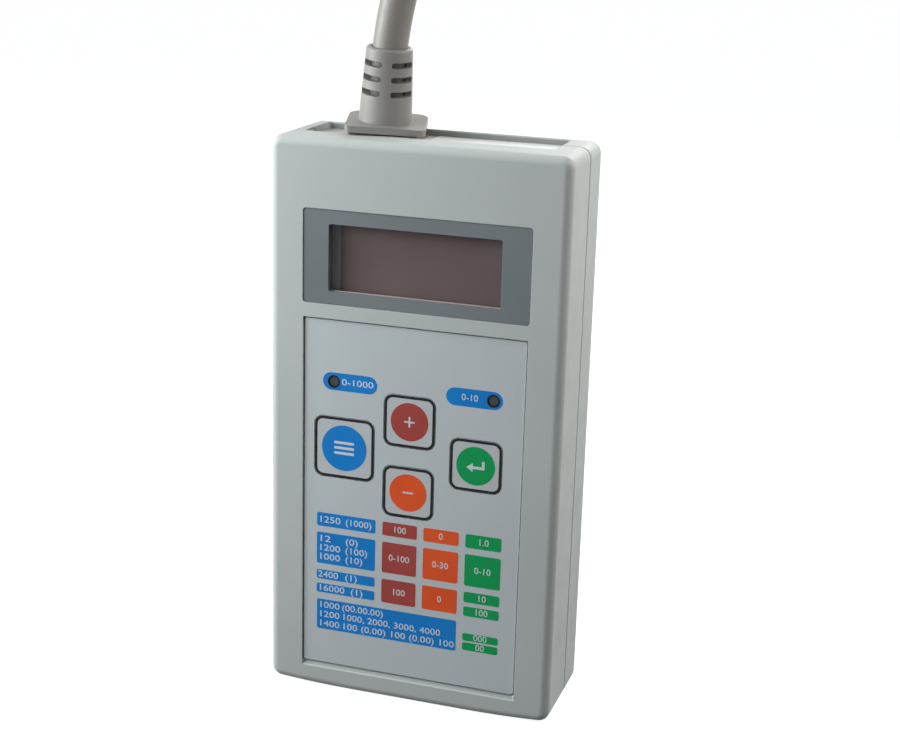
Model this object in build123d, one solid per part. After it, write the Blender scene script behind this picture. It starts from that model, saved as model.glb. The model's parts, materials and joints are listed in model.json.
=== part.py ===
from build123d import *
import math
import os

# Hand-held mains energy monitor on a thick lead.
# It stands on its lower end: +Z up the case, the keypad face looks to -Y, +X to the right.
# The origin is in the middle of the case, at the height of its foot. All sizes in millimetres.

# Case: two moulded shells that meet at a seam round the sides
case_width = 105.0
case_height = 200.0
case_depth = 40.0
seam_depth = 23.0
wall = 2.2
edge_radius = 3.0
corner_radius = 4.0
foot_width = 44.0
crown_rise = 1.2
groove_width = 0.7
groove_depth = 0.6
tongue_thickness = 0.9
tongue_height = 2.0
fit_gap = 0.15
cut_overrun = 5.0

front_y = -case_depth / 2
back_y = case_depth / 2
seam_y = front_y + seam_depth
inner_front_y = front_y + wall
inner_back_y = back_y - wall
inner_half_width = case_width / 2 - wall
inner_top_z = case_height - wall
inner_bottom_z = crown_rise + wall

# Case screws: from the back, through columns, into bosses of the front shell
case_screw_side = 8.0
case_screw_low = 10.5
case_screw_high = 13.0
case_screw_radius = 1.5
case_screw_head_radius = 2.7
case_screw_head_height = 2.0
case_screw_reach = 9.0
case_boss_radius = 3.6
case_column_radius = 4.2
case_column_floor = 3.0
pilot_gap = 0.05
screw_gap = 0.2
pilot_spare = 1.5

# Display: slate frame in a seat of the front shell, lens and LCD module behind it
keypad_drop = 61.6
display_keypad_gap = 5.15
display_side_margin = 12.375
display_frame_height = 32.5
display_frame_radius = 1.2
display_frame_thickness = 2.4
display_frame_sink = 0.3
display_seat_gap = 0.12
display_ledge_thickness = 1.5
display_ledge_wall = 2.0
display_ledge_width = 6.7
display_ledge_height = 1.75
aperture_side_margin = 9.625
aperture_edge_margin = 4.65
aperture_radius = 0.8
aperture_x = -0.5
aperture_rise = -0.2
lens_gap = 0.2
lens_thickness = 1.4
bezel_side_margin = 1.625
bezel_overlap = 2.25
bezel_clear = 0.1
bezel_skin = 0.6
bezel_aperture_side = 1.0
bezel_aperture_edge = 0.9
glass_side_overlap = 3.5
glass_edge_overlap = 1.9
glass_thickness = 2.2
backlight_thickness = 2.0
lcd_board_side = 0.5
lcd_board_edge = 7.5
board_thickness = 1.6
lcd_boss_inset = 3.0
lcd_boss_radius = 3.0
board_screw_radius = 1.05
board_screw_head_radius = 2.2
board_screw_head_height = 1.4
board_screw_reach = 4.0

keypad_top_z = case_height - keypad_drop
display_z = keypad_top_z + display_keypad_gap + display_frame_height / 2
display_frame_width = case_width - 2 * display_side_margin
aperture_width = display_frame_width - 2 * aperture_side_margin
aperture_height = display_frame_height - 2 * aperture_edge_margin
bezel_width = display_frame_width - 2 * bezel_side_margin
bezel_height = display_frame_height + 2 * bezel_overlap
bezel_aperture_width = aperture_width + 2 * bezel_aperture_side
bezel_aperture_height = aperture_height + 2 * bezel_aperture_edge
glass_width = aperture_width + 2 * glass_side_overlap
glass_height = aperture_height + 2 * glass_edge_overlap
lcd_board_width = bezel_width + 2 * lcd_board_side
lcd_board_height = bezel_height + 2 * lcd_board_edge
lcd_boss_side = lcd_board_width / 2 - lcd_boss_inset
lcd_boss_rise = lcd_board_height / 2 - lcd_boss_inset
display_seat_depth = display_frame_sink + display_frame_thickness
display_seat_y = front_y + display_seat_depth
display_ledge_y = display_seat_y + display_ledge_thickness
display_opening_width = display_frame_width - 2 * display_ledge_width
display_opening_height = display_frame_height - 2 * display_ledge_height
bezel_y = display_ledge_y + bezel_clear
glass_y = bezel_y + bezel_skin
backlight_y = glass_y + glass_thickness
lcd_board_y = backlight_y + backlight_thickness
lcd_board_back_y = lcd_board_y + board_thickness

# Keypad: printed film over a spacer and a membrane circuit, sunk in a tub of the front shell
keypad_side_margin = 12.5
keypad_bottom_z = 9.4
keypad_depth = 3.2
keypad_radius = 0.8
tub_floor = 2.0
tub_wall = 2.0
lip_height = 1.7
lip_depth = 1.4
film_gap = 0.45
film_thickness = 0.6
film_sink = 0.6
spacer_thickness = 1.3
membrane_thickness = 0.7
key_gap = 0.25
key_radius = 3.2
key_flange = 0.8
key_flange_thickness = 0.3
key_flange_gap = 0.05
key_room = 0.2
key_nub_radius = 2.0
key_nub_height = 0.35
dome_radius = 5.0
dome_height = 0.55
dome_thickness = 0.2
dome_rim = 0.9
dome_flat_share = 0.5
light_radius = 2.0
light_gap = 0.2
light_sink = 0.2
light_edge = 0.5
light_across_share = 0.35875
light_drop = 22.2
tail_width = 16.0
tail_thickness = 0.3
tail_rise = 42.6
tail_across_share = 0.275
tail_slot_gap = 0.5
tail_bend = 4.0
tail_drop = 10.0

keypad_width = case_width - 2 * keypad_side_margin
light_side = light_across_share * keypad_width
light_z = keypad_top_z - light_drop
tail_z = keypad_bottom_z + tail_rise
tail_x = tail_across_share * keypad_width
film_front_y = front_y + film_sink
film_back_y = film_front_y + film_thickness
membrane_y = film_back_y + spacer_thickness
tub_floor_y = front_y + keypad_depth
tub_back_y = tub_floor_y + tub_floor
keypad_z = (keypad_top_z + keypad_bottom_z) / 2
keypad_height = keypad_top_z - keypad_bottom_z
film_width = keypad_width - 2 * film_gap
film_height = keypad_height - 2 * film_gap

# Each key: place across and side of its square as shares of the keypad's width, and drop from its top
key_across_shares = {"mode": -0.30875, "plus": -0.01125, "minus": -0.01125, "enter": 0.29}
key_side_shares = {"mode": 0.27625, "plus": 0.23125, "minus": 0.23125, "enter": 0.23125}
mode_key_drop = 46.0
plus_key_drop = 33.4
minus_key_drop = 59.1
enter_key_drop = 46.0
key_drops = {
    "mode": mode_key_drop,
    "plus": plus_key_drop,
    "minus": minus_key_drop,
    "enter": enter_key_drop,
}
keys = {
    name: (across * keypad_width, keypad_top_z - key_drops[name], key_side_shares[name] * keypad_width)
    for name, across in key_across_shares.items()
}

# Main board on bosses of the back shell, and what it carries
main_board_side_margin = 6.5
main_board_bottom_z = 16.0
main_board_drop = 30.0
main_board_stand = 4.6
main_boss_radius = 3.0
main_boss_inset_x = 6.0
main_boss_inset_z = 6.5
transformer_width = 33.0
transformer_height = 28.0
transformer_depth = 22.0
transformer_bobbin = 4.0
transformer_stack = 14.0
terminal_width = 26.0
terminal_height = 12.0
terminal_depth = 10.0
terminal_pitch = 8.0
terminal_hole_radius = 1.5
terminal_hole_depth = 5.0
terminal_screw_radius = 1.8
terminal_screw_depth = 1.0
shunt_length = 24.0
shunt_height = 6.0
shunt_stand = 5.0
shunt_thickness = 1.0
fuse_length = 20.0
fuse_radius = 2.5
fuse_cap_length = 5.0
fuse_cap_step = 0.15
fuse_stand = 5.0
fuse_clip_wall = 0.5
fuse_clip_gap = 0.05
chip_length = 35.6
chip_width = 7.2
chip_thickness = 3.4
chip_stand = 0.5
chip_leg_count = 14
chip_leg_pitch = 2.54
chip_leg_width = 0.5
crystal_length = 11.0
crystal_width = 4.6
crystal_height = 3.6
capacitor_radius = 5.0
capacitor_height = 16.0
capacitor_edge = 0.6
capacitor_pitch = 13.0
regulator_width = 10.0
regulator_height = 15.0
regulator_thickness = 4.5
regulator_tab = 1.3
regulator_hole_radius = 1.8
regulator_body_share = 0.6
cell_radius = 10.0
cell_thickness = 3.2
holder_wall = 1.2
holder_floor = 1.0
holder_gap = 0.15
holder_notch = 8.0
header_width = 20.0
header_height = 4.0
header_depth = 3.0
lcd_header_across_share = 0.2174
lcd_header_sink = 9.8
lcd_header_drop = 10.0
ribbon_width = 16.0
ribbon_thickness = 0.3
ribbon_bend = 2.5

# Places on the main board: share of its width right of its middle, and of its height above its foot
board_place_shares = {
    "transformer": (0.2663, 0.57143),
    "terminal": (-0.21196, 0.9026),
    "shunt": (-0.28261, 0.77273),
    "fuse": (-0.32609, 0.66234),
    "chip": (0.0, 0.35065),
    "crystal": (0.36957, 0.35065),
    "capacitor": (-0.04348, 0.54545),
    "regulator": (-0.3913, 0.49351),
    "cell": (-0.28261, 0.15584),
}

main_board_width = case_width - 2 * main_board_side_margin
main_board_top_z = case_height - main_board_drop
main_board_height = main_board_top_z - main_board_bottom_z
board_places = {
    name: (across * main_board_width, main_board_bottom_z + up * main_board_height)
    for name, (across, up) in board_place_shares.items()
}
transformer_x, transformer_z = board_places["transformer"]
terminal_x, terminal_z = board_places["terminal"]
shunt_x, shunt_z = board_places["shunt"]
fuse_x, fuse_z = board_places["fuse"]
chip_x, chip_z = board_places["chip"]
crystal_x, crystal_z = board_places["crystal"]
capacitor_x, capacitor_z = board_places["capacitor"]
regulator_x, regulator_z = board_places["regulator"]
cell_x, cell_z = board_places["cell"]
lcd_header_x = lcd_header_across_share * main_board_width
lcd_header_z = display_z - lcd_header_sink
keypad_header_z = tail_z - tail_drop

main_board_y = inner_back_y - main_board_stand - board_thickness
main_board_back_y = main_board_y + board_thickness

# Top end: a panel under the opening that the two shells share, with the boot of the lead
recess_left_margin = 6.9
recess_right_margin = 9.9
recess_front_margin = 13.5
recess_back_margin = 4.0
recess_corner = 1.5
panel_thickness = 2.0
panel_margin = 1.5
panel_ledge_thickness = 2.0
panel_ledge_bite = 1.6
panel_ledge_gap = 0.1
label_left_x = 0.0
label_margin = 0.3
label_thickness = 0.2
boot_x = -18.5
boot_tilt = 4.0
boot_rise = 2.4
boot_hole_reach = 60.0
boot_length = 26.1
boot_base_radius = 9.7
boot_top_radius = 8.25
boot_rim = 1.0
boot_bore_gap = 0.15
flange_width = 28.7
flange_depth = 21.6
flange_thickness = 2.6
flange_shift = 0.75
flange_front_radius = 2.0
flange_back_radius = 5.0
shoulder_width = 25.0
shoulder_depth = 19.0
neck_width = 22.0
neck_depth = 17.0
neck_reach = 10.0
neck_gap = 0.2
slot_rows = 3
slot_pitch = 5.0
slot_height = 2.4
slot_first = 10.6
slot_round = 0.9
slots_per_row = 4
slot_column_angle = 24.0
slot_column_turn = 15.0
front_angle = 90.0
boot_clip_width = 30.0
boot_clip_depth = 23.0
boot_clip_thickness = 3.0
boot_clip_bite = 0.8
boot_clip_play = 0.1
core_radius = 1.2
core_pitch = 2.8
core_straight = 5.0
core_bend = 4.0

recess_left_x = recess_left_margin - case_width / 2
recess_right_x = case_width / 2 - recess_right_margin
recess_front_y = front_y + recess_front_margin
recess_back_y = back_y - recess_back_margin
boot_y = (recess_front_y + recess_back_y) / 2
boot_foot_z = case_height + boot_rise

# Lead. The free stretch leaves the boot, arches back and comes down behind the case.
cord_diameter = 12.0
cord_rest_gap = 0.1
entry_length = 30.0
cord_start_reach = 9.12
bend_share = 0.45
gap_probe_count = 720
gap_probe_spacing = 36.0

# Points over and behind the case: across from the boot, back from the boot, rise over the case's top
arch_points = [
    (5.7, 0.85, 61.0),
    (-1.5, 16.25, 97.0),
    (-12.0, 45.25, 118.0),
    (-25.0, 79.25, 118.5),
    (-35.5, 108.75, 100.0),
    (-42.0, 124.25, 67.5),
    (-44.0, 126.25, 32.0),
    (-46.0, 122.75, -4.0),
]

# Points down to the coil: place across and back, and share of the height between coil and case top
descent_points = [
    (-74.0, 126.0),
    (-92.0, 135.5),
    (-106.0, 158.0),
    (-109.5, 188.5),
    (-101.5, 217.5),
    (-82.0, 238.5),
    (-56.0, 247.5),
    (-28.0, 243.5),
    (-7.0, 224.0),
]
descent_shares = [0.78489, 0.61942, 0.4898, 0.37672, 0.27744, 0.18919, 0.11473, 0.05405, 0.01269, 0.0, 0.0]
cord_run_in = 27.5
cord_tail_straight = 19.0
cord_tail_end = 19.0

coil_x = -50.0
coil_y = 158.0
coil_radius = 54.0
coil_lead = 12.0
coil_layer = 12.6

# Plug of the lead, lying with its socket side on the floor and its pins up
plug_x = 5.0
plug_z = 15.0
plug_width = 46.0
plug_length = 38.0
plug_thickness = 30.0
plug_front_radius = 12.0
plug_back_radius = 5.0
plug_edge = 2.0
plug_back_y = 64.0
plug_boot_length = 16.0
plug_boot_base_radius = 11.0
plug_boot_end_radius = 8.0
plug_boot_grooves = 3
plug_boot_groove_pitch = 4.0
plug_boot_groove_width = 1.6
plug_boot_groove_depth = 1.2
pin_width = 6.3
pin_thickness = 1.6
pin_length = 17.0
pin_spread = 13.7
pin_turn = 30.0
pin_row = 5.5
earth_pin_row = 4.8
socket_width = 36.0
socket_length = 29.0
socket_radius = 6.0
socket_thickness = 2.0
socket_sink = 0.3
socket_gap = 0.2
socket_slot_gap = 0.3
socket_hole_depth = 12.0


def slab(outline, y_from, y_to):
    return extrude(Plane.XZ.offset(-y_from) * outline, amount=y_from - y_to)


def block(x_from, x_to, y_from, y_to, z_from, z_to):
    middle = ((x_from + x_to) / 2, (y_from + y_to) / 2, (z_from + z_to) / 2)
    return Pos(*middle) * Box(x_to - x_from, y_to - y_from, z_to - z_from)


def rod_y(x, z, radius, y_from, y_to):
    return slab(Pos(x, z) * Circle(radius), y_from, y_to)


def rounded(width, height, radius):
    return RectangleRounded(width, height, radius)


def corner_places(half_x, low_z, high_z):
    return [(side * half_x, z) for side in (-1, 1) for z in (low_z, high_z)]


def case_outline():
    half = case_width / 2
    flat = foot_width / 2
    edges = [
        Line((-flat, 0), (flat, 0)),
        TangentArc((flat, 0), (half, crown_rise), tangent=(1, 0)),
        Line((half, crown_rise), (half, case_height)),
        Line((half, case_height), (-half, case_height)),
        Line((-half, case_height), (-half, crown_rise)),
        TangentArc((-flat, 0), (-half, crown_rise), tangent=(-1, 0)),
    ]
    face = make_face(edges)
    corners = [v for v in face.vertices() if abs(abs(v.X) - half) < fit_gap]
    return fillet(corners, corner_radius)


def cavity_outline(grow=0.0):
    width = 2 * (inner_half_width + grow)
    height = inner_top_z - inner_bottom_z + 2 * grow
    middle_z = (inner_top_z + inner_bottom_z) / 2
    return Pos(0, middle_z) * rounded(width, height, corner_radius - wall + grow)


def case_blank():
    outer = slab(case_outline(), front_y, back_y)
    faces = outer.faces().sort_by(Axis.Y)
    outer = fillet(faces[0].edges() + faces[-1].edges(), edge_radius)
    groove = slab(case_outline(), seam_y - groove_width / 2, seam_y + groove_width / 2)
    groove -= slab(offset(case_outline(), -groove_depth), front_y, back_y)
    return outer - slab(cavity_outline(), inner_front_y, inner_back_y) - groove


def side_of_seam(shape, y_from, y_to):
    reach = case_width + case_height
    return shape & block(-reach, reach, y_from, y_to, -reach, reach)


def case_screw_places():
    half = case_width / 2 - case_screw_side
    return corner_places(half, case_screw_low, case_height - case_screw_high)


def main_boss_places():
    half = main_board_width / 2 - main_boss_inset_x
    low = main_board_bottom_z + main_boss_inset_z
    return corner_places(half, low, main_board_top_z - main_boss_inset_z)


def lcd_boss_places():
    return corner_places(lcd_boss_side, display_z - lcd_boss_rise, display_z + lcd_boss_rise)


def top_opening():
    width = recess_right_x - recess_left_x
    depth = recess_back_y - recess_front_y
    middle = ((recess_right_x + recess_left_x) / 2, (recess_back_y + recess_front_y) / 2)
    outline = Pos(*middle) * rounded(width, depth, recess_corner)
    return extrude(Plane.XY.offset(inner_top_z) * outline, amount=wall + cut_overrun)


def panel_ledges(y_from, y_to):
    top = inner_top_z - panel_thickness - panel_ledge_gap
    low = top - panel_ledge_thickness
    left_in = recess_left_x - panel_margin + panel_ledge_bite
    right_in = recess_right_x + panel_margin - panel_ledge_bite
    left = block(-inner_half_width, left_in, y_from, y_to, low, top)
    right = block(right_in, inner_half_width, y_from, y_to, low, top)
    return [left, right]


def keypad_opening():
    opening = slab(
        Pos(0, keypad_z) * rounded(keypad_width, keypad_height, keypad_radius),
        front_y - cut_overrun,
        tub_floor_y,
    )
    half = keypad_width / 2
    front = Pos(0, keypad_z - lip_height / 2) * Rectangle(2 * half, keypad_height + lip_height)
    back = Pos(0, keypad_z) * Rectangle(2 * (half - lip_depth), keypad_height)
    lip = loft(
        [
            Plane.XZ.offset(-front_y) * front,
            Plane.XZ.offset(-front_y - lip_depth) * back,
        ],
        ruled=True,
    )
    return opening + lip


def front_shell():
    shell = side_of_seam(case_blank(), front_y, seam_y)
    rebate = tongue_thickness + fit_gap
    shell -= slab(cavity_outline(rebate), seam_y - tongue_height - fit_gap, seam_y)
    seat_width = display_frame_width + 2 * display_seat_gap
    seat_height = display_frame_height + 2 * display_seat_gap
    seat = Pos(0, display_z) * rounded(seat_width, seat_height, display_frame_radius)
    ledge_outline = Pos(0, display_z) * rounded(
        seat_width + 2 * display_ledge_wall,
        seat_height + 2 * display_ledge_wall,
        display_frame_radius,
    )
    opening = Pos(0, display_z) * Rectangle(display_opening_width, display_opening_height)
    shell += slab(ledge_outline, inner_front_y, display_ledge_y)
    tub = Pos(0, keypad_z) * rounded(
        keypad_width + 2 * tub_wall, keypad_height + 2 * tub_wall, keypad_radius + tub_wall
    )
    shell += slab(tub, inner_front_y, tub_back_y)
    for x, z in lcd_boss_places():
        shell += rod_y(x, z, lcd_boss_radius, inner_front_y, lcd_board_y)
    for x, z in case_screw_places():
        shell += rod_y(x, z, case_boss_radius, inner_front_y, seam_y)
    panel_front_y = recess_front_y - panel_margin
    for ledge in panel_ledges(panel_front_y, seam_y):
        shell += ledge
    shell -= slab(seat, front_y - cut_overrun, display_seat_y)
    shell -= slab(opening, display_seat_y, display_ledge_y + cut_overrun)
    shell -= keypad_opening()
    for x, z in lcd_boss_places():
        depth = board_screw_reach + pilot_spare
        shell -= rod_y(x, z, board_screw_radius + pilot_gap, lcd_board_y - depth, lcd_board_y)
    for x, z in case_screw_places():
        depth = case_screw_reach + pilot_spare
        shell -= rod_y(x, z, case_screw_radius + pilot_gap, seam_y - depth, seam_y)
    slot_half = tail_width / 2 + tail_slot_gap
    shell -= block(
        tail_x - slot_half,
        tail_x + slot_half,
        tub_floor_y,
        tub_back_y + cut_overrun,
        tail_z - tail_thickness / 2 - tail_slot_gap,
        tail_z + tail_thickness / 2 + tail_slot_gap,
    )
    return shell - top_opening()


def back_shell():
    shell = side_of_seam(case_blank(), seam_y, back_y)
    tongue = slab(cavity_outline(tongue_thickness), seam_y - tongue_height, seam_y)
    tongue -= slab(cavity_outline(), seam_y - tongue_height, seam_y)
    shell += tongue
    for x, z in case_screw_places():
        shell += rod_y(x, z, case_column_radius, seam_y, inner_back_y)
    for x, z in main_boss_places():
        shell += rod_y(x, z, main_boss_radius, main_board_back_y, inner_back_y)
    for ledge in panel_ledges(seam_y, recess_back_y + panel_margin):
        shell += ledge
    for x, z in case_screw_places():
        seat_y = seam_y + case_column_floor
        shell -= rod_y(x, z, case_screw_head_radius + screw_gap, seat_y, back_y + cut_overrun)
        shell -= rod_y(x, z, case_screw_radius + screw_gap, seam_y, seat_y)
    for x, z in main_boss_places():
        depth = board_screw_reach - board_thickness + fit_gap
        shell -= rod_y(
            x, z, board_screw_radius + pilot_gap, main_board_back_y, main_board_back_y + depth
        )
    return shell - top_opening()


def case_screws():
    seat_y = seam_y + case_column_floor
    screws = Part()
    for x, z in case_screw_places():
        shaft = rod_y(x, z, case_screw_radius, seam_y - case_screw_reach, seat_y)
        head = rod_y(x, z, case_screw_head_radius, seat_y, seat_y + case_screw_head_height)
        screws += shaft + head
    return screws


def display_frame():
    outline = Pos(0, display_z) * rounded(
        display_frame_width, display_frame_height, display_frame_radius
    )
    aperture = Pos(aperture_x, display_z + aperture_rise) * rounded(
        aperture_width, aperture_height, aperture_radius
    )
    frame_y = front_y + display_frame_sink
    return slab(outline - aperture, frame_y, frame_y + display_frame_thickness)


def display_lens():
    outline = Rectangle(
        display_opening_width - 2 * lens_gap, display_opening_height - 2 * lens_gap
    )
    return slab(Pos(0, display_z) * outline, display_seat_y, display_seat_y + lens_thickness)


def lcd_bezel():
    outer = Pos(0, display_z) * Rectangle(bezel_width, bezel_height)
    room = Pos(0, display_z) * Rectangle(
        bezel_width - 2 * bezel_skin, bezel_height - 2 * bezel_skin
    )
    opening = Pos(0, display_z) * Rectangle(bezel_aperture_width, bezel_aperture_height)
    bezel = slab(outer, bezel_y, lcd_board_y)
    bezel -= slab(room, glass_y, lcd_board_y)
    return bezel - slab(opening, bezel_y, glass_y)


def lcd_glass():
    outline = Pos(0, display_z) * Rectangle(glass_width, glass_height)
    return slab(outline, glass_y, backlight_y)


def lcd_backlight():
    outline = Pos(0, display_z) * Rectangle(glass_width, glass_height)
    return slab(outline, backlight_y, lcd_board_y)


def lcd_board():
    outline = Pos(0, display_z) * Rectangle(lcd_board_width, lcd_board_height)
    board = slab(outline, lcd_board_y, lcd_board_back_y)
    for x, z in lcd_boss_places():
        board -= rod_y(x, z, board_screw_radius + screw_gap, lcd_board_y, lcd_board_back_y)
    return board


def lcd_board_screws():
    screws = Part()
    for x, z in lcd_boss_places():
        shaft = rod_y(x, z, board_screw_radius, lcd_board_y - board_screw_reach, lcd_board_back_y)
        head_y = lcd_board_back_y + board_screw_head_height
        screws += shaft + rod_y(x, z, board_screw_head_radius, lcd_board_back_y, head_y)
    return screws


def film_outline():
    return Pos(0, keypad_z) * rounded(film_width, film_height, keypad_radius)


def light_places():
    return {"overload_light": -light_side, "edit_light": light_side}


def keypad_layer(y_from, y_to, key_margin):
    layer = slab(film_outline(), y_from, y_to)
    for x, z, side in keys.values():
        window = rounded(side + 2 * key_margin, side + 2 * key_margin, key_radius + key_margin)
        layer -= slab(Pos(x, z) * window, y_from, y_to)
    for x in light_places().values():
        layer -= rod_y(x, light_z, light_radius + light_gap, y_from, y_to)
    return layer


def keypad_overlay():
    return keypad_layer(film_front_y, film_back_y, key_gap)


def keypad_spacer():
    return keypad_layer(film_back_y, membrane_y, key_flange + key_room)


def keypad_base():
    return slab(film_outline(), membrane_y, tub_floor_y)


def key_flange_y():
    return film_back_y + key_flange_gap


def push_key(x, z, side):
    back = key_flange_y() + key_flange_thickness
    plate = slab(Pos(x, z) * rounded(side, side, key_radius), film_front_y, back)
    wide = side + 2 * key_flange
    flange = slab(Pos(x, z) * rounded(wide, wide, key_radius + key_flange), key_flange_y(), back)
    return plate + flange + rod_y(x, z, key_nub_radius, back, back + key_nub_height)


def key_dome(x, z):
    flat_top = dome_radius * dome_flat_share
    profile = make_face(
        Polyline(
            (dome_radius, 0),
            (flat_top, dome_height),
            (0, dome_height),
            (0, dome_height - dome_thickness),
            (flat_top - dome_thickness, dome_height - dome_thickness),
            (dome_radius - dome_rim, 0),
            close=True,
        )
    )
    dome = revolve(Plane.XZ * profile, Axis.Z)
    return Pos(x, membrane_y, z) * Rot(90, 0, 0) * dome


def indicator_light(x):
    light = rod_y(x, light_z, light_radius, film_front_y + light_sink, membrane_y)
    return fillet(light.faces().sort_by(Axis.Y)[0].edges(), light_edge)


def band(points, bend, width, thickness, x):
    path = FilletPolyline(*points, radius=bend)
    start = Plane(origin=path @ 0, x_dir=(1, 0, 0), z_dir=path % 0)
    strip = sweep(start * Rectangle(width, thickness), path=path)
    return Pos(x, 0, 0) * strip


def keypad_tail():
    header_y = main_board_y - header_depth
    middle_y = (tub_back_y + header_y) / 2
    points = [
        (0, tub_floor_y, tail_z),
        (0, middle_y, tail_z),
        (0, middle_y, tail_z - tail_drop),
        (0, header_y, tail_z - tail_drop),
    ]
    return band(points, tail_bend, tail_width, tail_thickness, tail_x)


def lcd_ribbon():
    start_y = lcd_board_back_y + header_depth
    header_y = main_board_y - header_depth
    middle_y = (start_y + header_y) / 2
    points = [
        (0, start_y, lcd_header_z),
        (0, middle_y, lcd_header_z),
        (0, middle_y, lcd_header_z + lcd_header_drop),
        (0, header_y, lcd_header_z + lcd_header_drop),
    ]
    return band(points, ribbon_bend, ribbon_width, ribbon_thickness, lcd_header_x)


def board_headers():
    outline = Rectangle(header_width, header_height)
    front = main_board_y - header_depth
    headers = slab(Pos(tail_x, keypad_header_z) * outline, front, main_board_y)
    raised = lcd_header_z + lcd_header_drop
    headers += slab(Pos(lcd_header_x, raised) * outline, front, main_board_y)
    lcd_side = Pos(lcd_header_x, lcd_header_z) * outline
    return headers + slab(lcd_side, lcd_board_back_y, lcd_board_back_y + header_depth)


def main_board():
    height = main_board_top_z - main_board_bottom_z
    middle_z = (main_board_top_z + main_board_bottom_z) / 2
    outline = Pos(0, middle_z) * Rectangle(main_board_width, height)
    board = slab(outline, main_board_y, main_board_back_y)
    for x, z in main_boss_places():
        board -= rod_y(x, z, board_screw_radius + screw_gap, main_board_y, main_board_back_y)
    return board


def main_board_screws():
    screws = Part()
    for x, z in main_boss_places():
        shaft = rod_y(x, z, board_screw_radius, main_board_y, main_board_y + board_screw_reach)
        head_y = main_board_y - board_screw_head_height
        screws += shaft + rod_y(x, z, board_screw_head_radius, head_y, main_board_y)
    return screws


def mains_transformer():
    front = main_board_y - transformer_depth
    bobbin = Pos(transformer_x, transformer_z) * Rectangle(transformer_width, transformer_height)
    core_height = transformer_height - 2 * transformer_bobbin
    core = Pos(transformer_x, transformer_z) * Rectangle(transformer_width, core_height)
    margin = (transformer_depth - transformer_stack) / 2
    body = slab(core, front + margin, main_board_y - margin)
    waist = Rectangle(transformer_width - 2 * transformer_bobbin, transformer_height)
    body += slab(Pos(transformer_x, transformer_z) * waist, front, main_board_y)
    return body + slab(bobbin, main_board_y - margin, main_board_y)


def terminal_block():
    front = main_board_y - terminal_depth
    outline = Pos(terminal_x, terminal_z) * Rectangle(terminal_width, terminal_height)
    body = slab(outline, front, main_board_y)
    top = terminal_z + terminal_height / 2
    for place in (-1, 0, 1):
        x = terminal_x + place * terminal_pitch
        hole = Pos(x, main_board_y - terminal_depth / 2, top - terminal_hole_depth / 2)
        body -= hole * Cylinder(terminal_hole_radius, terminal_hole_depth)
        body -= rod_y(x, terminal_z, terminal_screw_radius, front, front + terminal_screw_depth)
    return body


def current_shunt():
    front = main_board_y - shunt_stand
    outline = Rectangle(shunt_length, shunt_height)
    strap = slab(Pos(shunt_x, shunt_z) * outline, front, main_board_y)
    room = Rectangle(shunt_length - 2 * shunt_thickness, shunt_height)
    return strap - slab(Pos(shunt_x, shunt_z) * room, front + shunt_thickness, main_board_y)


def rod_x(x_from, x_to, y, z, radius):
    middle = Pos((x_from + x_to) / 2, y, z)
    return middle * Rot(0, 90, 0) * Cylinder(radius, x_to - x_from)


def fuse():
    y = main_board_y - fuse_stand
    half = fuse_length / 2
    tube = rod_x(fuse_x - half, fuse_x + half, y, fuse_z, fuse_radius)
    cap = fuse_radius + fuse_cap_step
    tube += rod_x(fuse_x - half, fuse_x - half + fuse_cap_length, y, fuse_z, cap)
    return tube + rod_x(fuse_x + half - fuse_cap_length, fuse_x + half, y, fuse_z, cap)


def fuse_clips():
    y = main_board_y - fuse_stand
    seat = fuse_radius + fuse_cap_step + fuse_clip_gap
    outer = seat + fuse_clip_wall
    clips = Part()
    for side in (-1, 1):
        middle = fuse_x + side * (fuse_length - fuse_cap_length) / 2
        left = middle - fuse_cap_length / 2
        right = middle + fuse_cap_length / 2
        clip = block(left, right, y, main_board_y, fuse_z - outer, fuse_z + outer)
        clips += clip - rod_x(left, right, y, fuse_z, seat)
    return clips


def microcontroller():
    front = main_board_y - chip_stand - chip_thickness
    outline = Pos(chip_x, chip_z) * Rectangle(chip_length, chip_width)
    body = slab(outline, front, main_board_y - chip_stand)
    leg_y = main_board_y - chip_stand - chip_thickness / 2
    first = chip_x - chip_leg_pitch * (chip_leg_count - 1) / 2
    for count in range(chip_leg_count):
        x = first + count * chip_leg_pitch
        half = chip_leg_width / 2
        reach = chip_width / 2 + chip_leg_width
        legs = block(x - half, x + half, leg_y, main_board_y, chip_z - reach, chip_z + reach)
        gap_y = main_board_y - chip_stand
        room = chip_width / 2
        legs -= block(x - half, x + half, gap_y, main_board_y, chip_z - room, chip_z + room)
        body += legs
    return body


def timing_crystal():
    outline = rounded(crystal_length, crystal_width, crystal_width / 2 - fit_gap)
    return slab(Pos(crystal_x, crystal_z) * outline, main_board_y - crystal_height, main_board_y)


def board_capacitors():
    cans = Part()
    for side in (-1, 1):
        z = capacitor_z + side * capacitor_pitch / 2
        can = rod_y(capacitor_x, z, capacitor_radius, main_board_y - capacitor_height, main_board_y)
        cans += fillet(can.faces().sort_by(Axis.Y)[0].edges(), capacitor_edge)
    return cans


def voltage_regulator():
    back = main_board_y
    front = back - regulator_thickness
    half_width = regulator_width / 2
    low = regulator_z - regulator_height / 2
    high = regulator_z + regulator_height / 2
    tab = block(
        regulator_x - half_width, regulator_x + half_width, back - regulator_tab, back, low, high
    )
    body_top = low + regulator_height * regulator_body_share
    body = block(regulator_x - half_width, regulator_x + half_width, front, back, low, body_top)
    hole_z = (body_top + high) / 2
    return tab + body - rod_y(regulator_x, hole_z, regulator_hole_radius, front, back)


def clock_cell():
    back = main_board_y - holder_floor
    return rod_y(cell_x, cell_z, cell_radius, back - cell_thickness, back)


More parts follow.
